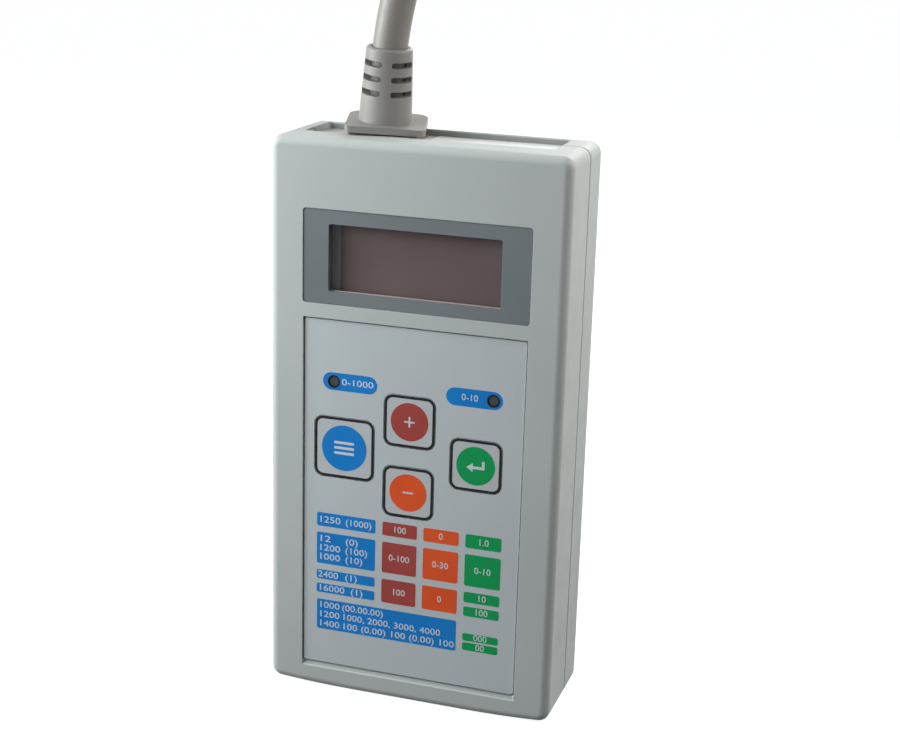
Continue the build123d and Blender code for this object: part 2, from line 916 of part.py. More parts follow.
def clock_cell_holder():
    front = main_board_y - holder_floor - cell_thickness
    seat = cell_radius + holder_gap
    holder = rod_y(cell_x, cell_z, seat + holder_wall, front, main_board_y)
    holder -= rod_y(cell_x, cell_z, seat, front, main_board_y - holder_floor)
    half = holder_notch / 2
    reach = seat + holder_wall
    notch = block(cell_x - half, cell_x + half, front, main_board_y - holder_floor, cell_z, cell_z + reach)
    return holder - notch


def panel_bounds():
    return (
        recess_left_x - panel_margin,
        recess_right_x + panel_margin,
        recess_front_y - panel_margin,
        recess_back_y + panel_margin,
    )


def top_end_panel():
    left, right, front, back = panel_bounds()
    panel = block(left, right, front, back, inner_top_z - panel_thickness, inner_top_z)
    hole = Rectangle(neck_width + 2 * neck_gap, neck_depth + 2 * neck_gap)
    low = Plane.XY.offset(inner_top_z - panel_thickness) * (Pos(boot_x, boot_y) * hole)
    return panel - extrude(low, amount=panel_thickness)


def top_label():
    return block(
        label_left_x,
        recess_right_x - label_margin,
        recess_front_y + label_margin,
        recess_back_y - label_margin,
        inner_top_z,
        inner_top_z + label_thickness,
    )


def flange_outline():
    half_width = flange_width / 2
    half_depth = flange_depth / 2
    face = Rectangle(flange_width, flange_depth)
    front = [v for v in face.vertices() if v.Y < 0]
    face = fillet(front, flange_front_radius)
    rear = [v for v in face.vertices() if v.Y > half_depth - fit_gap]
    back = [v for v in rear if abs(v.X) > half_width - fit_gap]
    return Pos(flange_shift, 0) * fillet(back, flange_back_radius)


def flex_slot_cutter():
    reach = boot_base_radius * 2
    half_angle = (360 / slots_per_row - slot_column_angle) / 2
    spread = [(reach * math.cos(math.radians(a)), reach * math.sin(math.radians(a)))
              for a in (-half_angle, half_angle)]
    wedge = extrude(make_face(Polyline((0, 0), *spread, close=True)), amount=slot_height)
    rim = [e for e in wedge.edges() if abs((e @ 0.5).Z - slot_height / 2) > fit_gap]
    sides = [e for e in rim if min((e @ 0).X, (e @ 1).X) < fit_gap]
    return Pos(0, 0, -slot_height / 2) * fillet(sides, slot_round)


def cable_boot():
    align = (Align.CENTER, Align.CENTER, Align.MIN)
    taper = Cone(boot_base_radius, boot_top_radius, boot_length, align=align)
    taper = fillet(taper.faces().sort_by(Axis.Z)[-1].edges(), boot_rim)
    bore = cord_diameter / 2 + boot_bore_gap
    cutter = flex_slot_cutter()
    column_at = slot_column_turn - front_angle
    for row in range(slot_rows):
        z = slot_first + row * slot_pitch
        for slot in range(slots_per_row):
            turn = column_at + (slot + 0.5) * 360 / slots_per_row
            taper -= Pos(0, 0, z) * Rot(0, 0, turn) * cutter
    flange = extrude(flange_outline(), amount=-flange_thickness)
    place = Pos(boot_x, boot_y, boot_foot_z) * Rot(boot_tilt, 0, 0)
    boot = place * (taper + flange)
    flange_z = boot_foot_z - flange_thickness / 2
    shoulder = Pos(boot_x, boot_y) * Rectangle(shoulder_width, shoulder_depth)
    boot += extrude(Plane.XY.offset(inner_top_z) * shoulder, amount=flange_z - inner_top_z)
    neck_low = inner_top_z - neck_reach
    neck = Pos(boot_x, boot_y) * Rectangle(neck_width, neck_depth)
    boot += extrude(Plane.XY.offset(neck_low) * neck, amount=neck_reach)
    groove_low = inner_top_z - panel_thickness - boot_clip_play - boot_clip_thickness - boot_clip_play
    groove_top = inner_top_z - panel_thickness
    half = neck_width / 2
    for side in (-1, 1):
        outer = boot_x + side * (half + boot_clip_bite)
        inner = boot_x + side * (half - boot_clip_bite)
        boot -= block(
            min(outer, inner), max(outer, inner),
            boot_y - neck_depth, boot_y + neck_depth,
            groove_low, groove_top,
        )
    hole = Cylinder(bore, 2 * boot_hole_reach)
    return boot - place * hole


def boot_clip():
    top = inner_top_z - panel_thickness - boot_clip_play
    low = top - boot_clip_thickness
    half_width = boot_clip_width / 2
    half_depth = boot_clip_depth / 2
    plate = block(
        boot_x - half_width, boot_x + half_width,
        boot_y - half_depth, boot_y + half_depth,
        low, top,
    )
    half_slot = neck_width / 2 - boot_clip_bite + boot_clip_play
    front = boot_y - neck_depth / 2 - boot_clip_play
    return plate - block(boot_x - half_slot, boot_x + half_slot, front, boot_y + boot_clip_depth, low, top)


def tube(points, diameter, radii):
    path = FilletPolyline(*points, radius=radii)
    start = Plane(origin=path @ 0, z_dir=path % 0)
    return sweep(start * Circle(diameter / 2), path=path)


def bend_radii(points):
    radii = []
    for before, corner, after in zip(points[:-2], points[1:-1], points[2:]):
        first = Vector(*corner) - Vector(*before)
        second = Vector(*after) - Vector(*corner)
        half_turn = math.radians(first.get_angle(second)) / 2
        radii.append(bend_share * min(first.length, second.length) / math.tan(half_turn))
    return radii


def cord_stretch(points, label):
    radii = bend_radii(points)
    print(label, "bend radii", [round(radius, 1) for radius in radii])
    stretch = tube(points, cord_diameter, radii)
    length = FilletPolyline(*points, radius=radii).length
    section = math.pi * cord_diameter ** 2 / 4
    print(label, "length", round(length, 1), "volume share", round(stretch.volume / (section * length), 4))
    return stretch


def boot_axis_point(reach):
    tilt = math.radians(boot_tilt)
    return (boot_x, boot_y - reach * math.sin(tilt), boot_foot_z + reach * math.cos(tilt))


def free_route():
    low_z = cord_diameter / 2 + cord_rest_gap + coil_layer
    end_x = coil_x + coil_radius
    end_y = coil_y + coil_lead
    points = [boot_axis_point(cord_start_reach), boot_axis_point(boot_length)]
    points += [(boot_x + across, boot_y + back, case_height + rise) for across, back, rise in arch_points]
    places = descent_points + [(end_x, end_y + cord_run_in), (end_x, end_y)]
    for (x, y), share in zip(places, descent_shares):
        points.append((x, y, low_z + share * (case_height - low_z)))
    return points


def tail_route():
    rest_z = cord_diameter / 2 + cord_rest_gap
    start_x = coil_x + coil_radius
    start_y = coil_y - coil_lead
    end_y = plug_back_y + plug_boot_length
    return [
        (start_x, start_y, rest_z),
        (start_x, start_y - cord_tail_straight, rest_z),
        (plug_x, end_y + cord_tail_end, plug_z),
        (plug_x, end_y, plug_z),
    ]


def entry_end():
    first = Vector(*boot_axis_point(cord_start_reach))
    along = (Vector(*boot_axis_point(boot_length)) - first).normalized()
    return first - along * entry_length


def cord_entry():
    low = entry_end()
    first = Vector(*boot_axis_point(cord_start_reach))
    start = Plane(origin=low, z_dir=first - low)
    return extrude(start * Circle(cord_diameter / 2), amount=(first - low).length)


def inner_cores():
    low = entry_end()
    first = Vector(*boot_axis_point(cord_start_reach))
    below = low + (low - first).normalized() * core_straight
    y = main_board_y - terminal_depth / 2
    top = terminal_z + terminal_height / 2
    cores = Part()
    for place in (-1, 0, 1):
        aside = place * core_pitch
        x_to = terminal_x + place * terminal_pitch
        points = [
            (low.X + aside, low.Y, low.Z),
            (below.X + aside, below.Y, below.Z),
            (x_to, y, top + core_straight),
            (x_to, y, top - terminal_hole_depth + screw_gap),
        ]
        cores += tube(points, 2 * core_radius, core_bend)
    return cores


def coil_path():
    rest_z = cord_diameter / 2 + cord_rest_gap
    centre = Vector(coil_x, coil_y, rest_z)
    east = Vector(coil_radius, 0, 0)
    north = Vector(0, coil_radius, 0)
    up = Vector(0, 0, coil_layer)
    lead = Vector(0, coil_lead, 0)
    start = centre + east + up
    south = centre - north + up
    north_end = centre + north
    end = centre + east
    climb_middle = (south + north_end) * 0.5
    climb_radius = (south - north_end).length / 2
    west = climb_middle - Vector(climb_radius, 0, 0)
    diagonal = math.sqrt(0.5)
    first_quarter = centre + up + (east - north) * diagonal
    last_quarter = centre + (east + north) * diagonal
    edges = [
        Line(start + lead, start),
        ThreePointArc(start, first_quarter, south),
        ThreePointArc(south, west, north_end),
        ThreePointArc(north_end, last_quarter, end),
        Line(end, end - lead),
    ]
    return Wire(edges)


def least_coil_gap(path):
    count = gap_probe_count
    points = [path @ (step / count) for step in range(count + 1)]
    apart = round(gap_probe_spacing / path.length * count)
    least = min(
        (points[i] - points[j]).length
        for i in range(0, count + 1, 2)
        for j in range(i + apart, count + 1, 2)
    )
    return least - cord_diameter


def cord_coil():
    path = coil_path()
    print("coil least gap", round(least_coil_gap(path), 2), "length", round(path.length, 1))
    start = Plane(origin=path @ 0, z_dir=path % 0)
    return sweep(start * Circle(cord_diameter / 2), path=path)


def plug_outline():
    face = Rectangle(plug_width, plug_length)
    front = [v for v in face.vertices() if v.Y < 0]
    face = fillet(front, plug_front_radius)
    half_width = plug_width / 2 - fit_gap
    half_length = plug_length / 2 - fit_gap
    back = [v for v in face.vertices() if v.Y > half_length and abs(v.X) > half_width]
    face = fillet(back, plug_back_radius)
    return Pos(plug_x, plug_back_y - plug_length / 2) * face


def pin_places():
    middle_y = plug_back_y - plug_length / 2
    return [
        (plug_x - pin_spread / 2, middle_y + pin_row, pin_turn),
        (plug_x + pin_spread / 2, middle_y + pin_row, -pin_turn),
        (plug_x, middle_y - earth_pin_row, 0),
    ]


def blade(width, thickness, z_from, z_to):
    blades = Part()
    for x, y, turn in pin_places():
        outline = Pos(x, y) * Rot(0, 0, turn) * Rectangle(thickness, width)
        blades += extrude(Plane.XY.offset(z_from) * outline, amount=z_to - z_from)
    return blades


def socket_outline(gap):
    middle_y = plug_back_y - plug_length / 2
    width = socket_width + 2 * gap
    length = socket_length + 2 * gap
    return Pos(plug_x, middle_y) * rounded(width, length, socket_radius + gap)


def plug_body():
    low = plug_z - plug_thickness / 2
    body = extrude(Plane.XY.offset(low) * plug_outline(), amount=plug_thickness)
    faces = body.faces().sort_by(Axis.Z)
    body = fillet(faces[0].edges() + faces[-1].edges(), plug_edge)
    seat = socket_sink + socket_thickness
    body -= extrude(Plane.XY.offset(low) * socket_outline(socket_gap), amount=seat)
    slot_width = pin_width + 2 * socket_slot_gap
    slot_thickness = pin_thickness + 2 * socket_slot_gap
    return body - blade(slot_width, slot_thickness, low, low + seat + socket_hole_depth)


def socket_plate():
    low = plug_z - plug_thickness / 2 + socket_sink
    plate = extrude(Plane.XY.offset(low) * socket_outline(0), amount=socket_thickness)
    slot_width = pin_width + 2 * socket_slot_gap
    slot_thickness = pin_thickness + 2 * socket_slot_gap
    return plate - blade(slot_width, slot_thickness, low, low + socket_thickness)


def plug_pins():
    top = plug_z + plug_thickness / 2
    return blade(pin_width, pin_thickness, top, top + pin_length)


def plug_boot():
    end_y = plug_back_y + plug_boot_length
    place = Pos(plug_x, plug_back_y, plug_z) * Rot(-90, 0, 0)
    align = (Align.CENTER, Align.CENTER, Align.MIN)
    boot = Cone(plug_boot_base_radius, plug_boot_end_radius, end_y - plug_back_y, align=align)
    for count in range(plug_boot_grooves):
        z = plug_boot_length - (count + 0.5) * plug_boot_groove_pitch
        radius = plug_boot_end_radius - plug_boot_groove_depth
        ring = Cylinder(2 * plug_boot_base_radius, plug_boot_groove_width) - Cylinder(
            radius + count * plug_boot_groove_depth / 2, plug_boot_groove_width
        )
        boot -= Pos(0, 0, z) * ring
    return place * boot


nodes = {
    "front_shell": front_shell(),
    "back_shell": back_shell(),
    "case_screws": case_screws(),
    "display_frame": display_frame(),
    "display_lens": display_lens(),
    "lcd_bezel": lcd_bezel(),
    "lcd_glass": lcd_glass(),
    "lcd_backlight": lcd_backlight(),
    "lcd_board": lcd_board(),
    "lcd_board_screws": lcd_board_screws(),
    "keypad_overlay": keypad_overlay(),
    "keypad_spacer": keypad_spacer(),
    "keypad_base": keypad_base(),
    "keypad_tail": keypad_tail(),
    "lcd_ribbon": lcd_ribbon(),
    "board_headers": board_headers(),
    "main_board": main_board(),
    "main_board_screws": main_board_screws(),
    "mains_transformer": mains_transformer(),
    "terminal_block": terminal_block(),
    "current_shunt": current_shunt(),
    "fuse": fuse(),
    "fuse_clips": fuse_clips(),
    "microcontroller": microcontroller(),
    "timing_crystal": timing_crystal(),
    "board_capacitors": board_capacitors(),
    "voltage_regulator": voltage_regulator(),
    "clock_cell": clock_cell(),
    "clock_cell_holder": clock_cell_holder(),
    "top_end_panel": top_end_panel(),
    "top_label": top_label(),
    "cable_boot": cable_boot(),
    "boot_clip": boot_clip(),
    "cord_entry": cord_entry(),
    "inner_cores": inner_cores(),
    "power_cord": cord_stretch(free_route(), "free stretch"),
    "cord_coil": cord_coil(),
    "cord_tail": cord_stretch(tail_route(), "tail"),
    "plug_body": plug_body(),
    "plug_pins": plug_pins(),
    "plug_boot": plug_boot(),
    "socket_plate": socket_plate(),
}
for key_name, (key_x, key_z, key_side) in keys.items():
    nodes[key_name + "_key"] = push_key(key_x, key_z, key_side)
    nodes[key_name + "_dome"] = key_dome(key_x, key_z)
for light_name, light_x in light_places().items():
    nodes[light_name] = indicator_light(light_x)

os.makedirs("parts", exist_ok=True)
for node_name, shape in nodes.items():
    export_step(shape, f"parts/{node_name}.step")
print(len(nodes), "nodes")
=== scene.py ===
import json

import bmesh
import bpy
import numpy as np
from mathutils import Matrix

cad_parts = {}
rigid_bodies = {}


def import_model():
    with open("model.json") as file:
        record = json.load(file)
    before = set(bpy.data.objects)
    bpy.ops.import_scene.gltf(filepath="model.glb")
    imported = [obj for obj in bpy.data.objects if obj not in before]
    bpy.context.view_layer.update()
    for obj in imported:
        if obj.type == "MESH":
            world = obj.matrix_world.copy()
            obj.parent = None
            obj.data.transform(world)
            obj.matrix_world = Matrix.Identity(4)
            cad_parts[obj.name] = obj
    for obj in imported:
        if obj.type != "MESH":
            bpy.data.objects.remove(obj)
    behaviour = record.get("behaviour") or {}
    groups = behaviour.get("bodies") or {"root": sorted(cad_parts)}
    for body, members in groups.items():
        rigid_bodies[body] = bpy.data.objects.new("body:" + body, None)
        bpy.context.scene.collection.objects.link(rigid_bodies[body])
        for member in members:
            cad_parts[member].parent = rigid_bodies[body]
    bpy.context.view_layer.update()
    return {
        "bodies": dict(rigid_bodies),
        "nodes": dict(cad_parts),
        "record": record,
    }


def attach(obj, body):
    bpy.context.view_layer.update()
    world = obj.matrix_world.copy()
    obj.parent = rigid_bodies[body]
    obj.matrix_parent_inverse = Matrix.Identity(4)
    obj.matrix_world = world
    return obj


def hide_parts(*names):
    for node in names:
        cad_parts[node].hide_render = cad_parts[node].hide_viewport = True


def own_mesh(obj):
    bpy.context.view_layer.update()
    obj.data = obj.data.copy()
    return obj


# Hand-held energy monitor on a thick lead, dressed round its CAD parts.
# The scene is in metres. The dictionaries give lengths in millimetres, each taken times mm where it is used,
# and only the room's are in metres. Angles are in degrees.
mm = 0.001

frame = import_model()
print("frame loaded:", len(frame["nodes"]), "nodes")


def addObject(name, data):
    made = bpy.data.objects.new(name, data)
    bpy.context.scene.collection.objects.link(made)
    return made


# The matrix that puts an object at place, with its own X, Y and Z along side, up and back
def standAt(place, side, up, back):
    turn = np.eye(4)
    turn[:3, 0], turn[:3, 1], turn[:3, 2], turn[:3, 3] = side, up, back, place
    return Matrix(turn.tolist())


# Camera: where the photograph was taken from, with its directions across, down and into the picture
cameraPlan = {
    "place": (181.588, -543.591, 286.598),
    "right": (0.94916, 0.31358, 0.02756),
    "down": (0.11336, -0.25880, -0.95926),
    "forward": (-0.29367, 0.91361, -0.28119),
    "lens": 68.386,
    "sensor": 36.0,
    "nearest": 10.0,
    "farthest": 50000.0,
}


def makeCamera(plan):
    data = bpy.data.cameras.new("photoCamera")
    data.sensor_width = plan["sensor"]
    data.lens = plan["lens"]
    data.clip_start = plan["nearest"] * mm
    data.clip_end = plan["farthest"] * mm
    camera = addObject("photoCamera", data)
    place, down, forward = np.array(plan["place"]), np.array(plan["down"]), np.array(plan["forward"])
    camera.matrix_world = standAt(place * mm, plan["right"], -down, -forward)
    bpy.context.scene.camera = camera


makeCamera(cameraPlan)
bpy.context.scene.view_settings.view_transform = "Standard"
print("camera placed")


# Lead: one line from inside the boot, up and over behind the case, into its coil and on to the plug
leadPlan = {
    "diameter": 12.0,
    "length": 1090.0,
    "exit": (-18.5, 2.8, 229.0),
    "route": [
        (-19.8, 3.93, 211.5),
        (-19.2, 2.7, 229.0),
        (-12.9, 5.6, 261.0),
        (-20.0, 21.0, 297.0),
        (-30.5, 50.0, 318.0),
        (-43.5, 84.0, 318.5),
        (-54.0, 113.5, 300.0),
        (-60.5, 129.0, 267.5),
        (-62.5, 131.0, 232.0),
        (-64.5, 127.5, 196.0),
        (-74.0, 126.0, 161.0),
        (-92.0, 135.5, 131.0),
        (-106.0, 158.0, 107.5),
        (-109.5, 188.5, 87.0),
        (-101.5, 217.5, 69.0),
        (-82.0, 238.5, 53.0),
        (-56.0, 247.5, 39.5),
        (-28.0, 243.5, 28.5),
        (-7.0, 224.0, 21.0),
        (4.0, 197.5, 18.7),
        (4.0, 170.0, 18.7),
    ],
    "coilCentre": (-50.0, 158.0),
    "coilRadius": 54.0,
    "coilLow": 6.1,
    "coilHigh": 18.7,
    "coilSides": 16,
    "tail": [(4.0, 146.0, 6.1), (4.0, 127.0, 6.1), (5.0, 99.0, 15.0), (5.0, 80.0, 15.0)],
    "order": 3,
    "ringSteps": 10,
    "lineSteps": 14,
}


# Corners of the polygon drawn round the coil's circle, clockwise from above. The height is the upper layer's
# for a quarter turn, falls in a straight slope along Y for half a turn, and is then the lower layer's.
def coilCorners(plan):
    sides = plan["coilSides"]
    step = np.arange(sides) + 0.5
    angle = -step * 2 * np.pi / sides
    reach = plan["coilRadius"] / np.cos(np.pi / sides)
    x = plan["coilCentre"][0] + reach * np.cos(angle)
    y = plan["coilCentre"][1] + reach * np.sin(angle)
    low, high = plan["coilLow"], plan["coilHigh"]
    share = np.clip((y - plan["coilCentre"][1]) / plan["coilRadius"], -1, 1)
    sloped = (low + high) / 2 - share * (high - low) / 2
    z = np.where(step < sides / 4, high, np.where(step > sides * 3 / 4, low, sloped))
    return np.stack([x, y, z], 1)


def makeLead(plan):
    points = np.vstack([plan["route"], coilCorners(plan), plan["tail"]]) * mm
    data = bpy.data.curves.new("lead", "CURVE")
    data.dimensions = "3D"
    # The tube takes its radius from each point, so that its box is the lead's own
    data.bevel_depth = 1.0
    data.bevel_resolution = plan["ringSteps"]
    data.resolution_u = plan["lineSteps"]
    data.use_fill_caps = True
    spline = data.splines.new("NURBS")
    spline.points.add(len(points) - 1)
    spline.points.foreach_set("co", np.hstack([points, np.ones((len(points), 1))]).ravel())
    spline.points.foreach_set("radius", np.full(len(points), plan["diameter"] * mm / 2))
    spline.order_u = plan["order"]
    spline.use_endpoint_u = True
    return addObject("lead", data)


lead = makeLead(leadPlan)
caseBody = frame["nodes"]["front_shell"].parent
rootBody = [name for name, body in frame["bodies"].items() if body == caseBody][0]
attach(lead, rootBody)
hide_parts("power_cord", "cord_coil", "cord_tail")
print("lead laid")


# Finishes. A colour is written as a screen shows it, from 0 to full. The shader works in shares of full
# light: a dark share is divided by one number, and a lighter one is shifted and then raised to a power.
screenPlan = {"full": 255, "dark": 0.04045, "divide": 12.92, "shift": 0.055, "power": 2.4}


def screenColour(colour):
    share = np.clip(np.array(colour, float) / screenPlan["full"], 0, 1)
    light = ((share + screenPlan["shift"]) / (1 + screenPlan["shift"])) ** screenPlan["power"]
    return (*np.where(share <= screenPlan["dark"], share / screenPlan["divide"], light).tolist(), 1.0)


def emptyTree(holder):
    holder.use_nodes = True
    holder.node_tree.nodes.clear()
    return holder.node_tree


def addNode(tree, kind, **inputs):
    node = tree.nodes.new(kind)
    for name, value in inputs.items():
        node.inputs[name].default_value = value
    return node


def mathNode(tree, operation, first, second):
    node = tree.nodes.new("ShaderNodeMath")
    node.operation = operation
    tree.links.new(first, node.inputs[0])
    tree.links.new(second, node.inputs[1])
    return node.outputs["Value"]


def noiseNode(tree, place, size, detail, roughness=0.5):
    node = addNode(tree, "ShaderNodeTexNoise", Scale=1 / (size * mm), Detail=detail, Roughness=roughness)
    tree.links.new(place, node.inputs["Vector"])
    return node.outputs["Fac"]


def rangeNode(tree, value, fromSpan, toSpan):
    node = tree.nodes.new("ShaderNodeMapRange")
    for name, number in zip(("From Min", "From Max", "To Min", "To Max"), (*fromSpan, *toSpan)):
        node.inputs[name].default_value = number
    tree.links.new(value, node.inputs["Value"])
    return node.outputs["Result"]


def mixColour(tree, share, first, second):
    node = tree.nodes.new("ShaderNodeMix")
    node.data_type = "RGBA"
    tree.links.new(share, node.inputs["Factor"])
    node.inputs["A"].default_value, node.inputs["B"].default_value = first, second
    return [out for out in node.outputs if out.type == "RGBA"][0]


def scaleColour(tree, colour, level):
    node = tree.nodes.new("ShaderNodeVectorMath")
    node.operation = "SCALE"
    tree.links.new(colour, node.inputs[0])
    tree.links.new(level, node.inputs["Scale"])
    return node.outputs["Vector"]


# A box of painted shade in a finish: inside its spans along X, Y and Z the colour is taken times the box's
# level.
# A span is tested as a distance from its middle of up to half its length, and the tests are multiplied.
def paintedShadeBox(tree, place, colour, box):
    parts = tree.nodes.new("ShaderNodeSeparateXYZ")
    tree.links.new(place, parts.inputs[0])
    inside = None
    for axis in "XYZ":
        if axis not in box:
            continue
        low, high = box[axis]
        test = tree.nodes.new("ShaderNodeMath")
        test.operation = "COMPARE"
        tree.links.new(parts.outputs[axis], test.inputs[0])
        test.inputs[1].default_value = (low + high) / 2 * mm
        test.inputs[2].default_value = (high - low) / 2 * mm
        value = test.outputs["Value"]
        inside = value if inside is None else mathNode(tree, "MULTIPLY", inside, value)
    return scaleColour(tree, colour, rangeNode(tree, inside, (0, 1), (1, box["level"])))


# What a finish has where its own entry says nothing. Sizes of noise are in millimetres, and its spans
# are the part of the noise's scale that is spread over the whole change.
plainFinish = {
    "drift": 4.0, "driftSize": 30.0, "driftDetail": 3.0, "driftSpan": (0.35, 0.65),
    "speckle": 0.0, "speckleSize": 0.5, "speckleDetail": 1.0, "noiseSpan": (0.3, 0.7), "dark": [],
    "roughness": 0.5, "roughSpread": 0.06, "roughSize": 6.0, "roughDetail": 4.0,
    "metal": 0.0, "shine": 0.5, "coat": 0.0, "coatRoughness": 0.2, "alpha": 1.0,
    "grain": 0.02, "grainSize": 0.6, "grainStrength": 0.5, "grainDetail": 2.0, "grainRoughness": 0.6,
    "roundEdge": 0.0, "roundSamples": 6,
}


# Colour of a finish: it drifts slowly between two shades, has a fine speckle, and is darkened in its boxes of
# painted shade
def finishColour(tree, place, finish):
    base, drift = np.array(finish["colour"], float), finish["drift"]
    slow = noiseNode(tree, place, finish["driftSize"], finish["driftDetail"])
    share = rangeNode(tree, slow, finish["driftSpan"], (0, 1))
    colour = mixColour(tree, share, screenColour(base - drift), screenColour(base + drift))
    if finish["speckle"]:
        fine = noiseNode(tree, place, finish["speckleSize"], finish["speckleDetail"])
        spots = (1 - finish["speckle"], 1 + finish["speckle"])
        colour = scaleColour(tree, colour, rangeNode(tree, fine, finish["noiseSpan"], spots))
    for box in finish["dark"]:
        colour = paintedShadeBox(tree, place, colour, box)
    return colour


# Surface of a finish: a fine raised grain, over edges that are rounded where roundEdge gives a radius
def finishNormal(tree, place, finish):
    bump = addNode(tree, "ShaderNodeBump", Strength=finish["grainStrength"], Distance=finish["grain"] * mm)
    grain = noiseNode(tree, place, finish["grainSize"], finish["grainDetail"], finish["grainRoughness"])
    tree.links.new(grain, bump.inputs["Height"])
    if finish["roundEdge"]:
        bevel = addNode(tree, "ShaderNodeBevel", Radius=finish["roundEdge"] * mm)
        bevel.samples = finish["roundSamples"]
        tree.links.new(bevel.outputs["Normal"], bump.inputs["Normal"])
    return bump.outputs["Normal"]


def makeFinish(name, ownFinish):
    finish = {**plainFinish, **ownFinish}
    material = bpy.data.materials.new(name)
    tree = emptyTree(material)
    output = tree.nodes.new("ShaderNodeOutputMaterial")
    shader = tree.nodes.new("ShaderNodeBsdfPrincipled")
    tree.links.new(shader.outputs["BSDF"], output.inputs["Surface"])
    place = tree.nodes.new("ShaderNodeTexCoord").outputs["Object"]
    tree.links.new(finishColour(tree, place, finish), shader.inputs["Base Color"])
    rough = noiseNode(tree, place, finish["roughSize"], finish["roughDetail"])
    spread = (finish["roughness"] - finish["roughSpread"], finish["roughness"] + finish["roughSpread"])
    tree.links.new(rangeNode(tree, rough, finish["noiseSpan"], spread), shader.inputs["Roughness"])
    shader.inputs["Metallic"].default_value = finish["metal"]
    shader.inputs["Specular IOR Level"].default_value = finish["shine"]
    shader.inputs["Coat Weight"].default_value = finish["coat"]
    shader.inputs["Coat Roughness"].default_value = finish["coatRoughness"]
    shader.inputs["Alpha"].default_value = finish["alpha"]
    tree.links.new(finishNormal(tree, place, finish), shader.inputs["Normal"])
    return material


# The printed inks differ in colour alone
def inkFinish(colour):
    return {"colour": colour, "roughness": 0.45, "shine": 0.2, "drift": 3.0, "driftSize": 12.0,
            "speckle": 0.02, "grain": 0.01, "grainSize": 0.45}


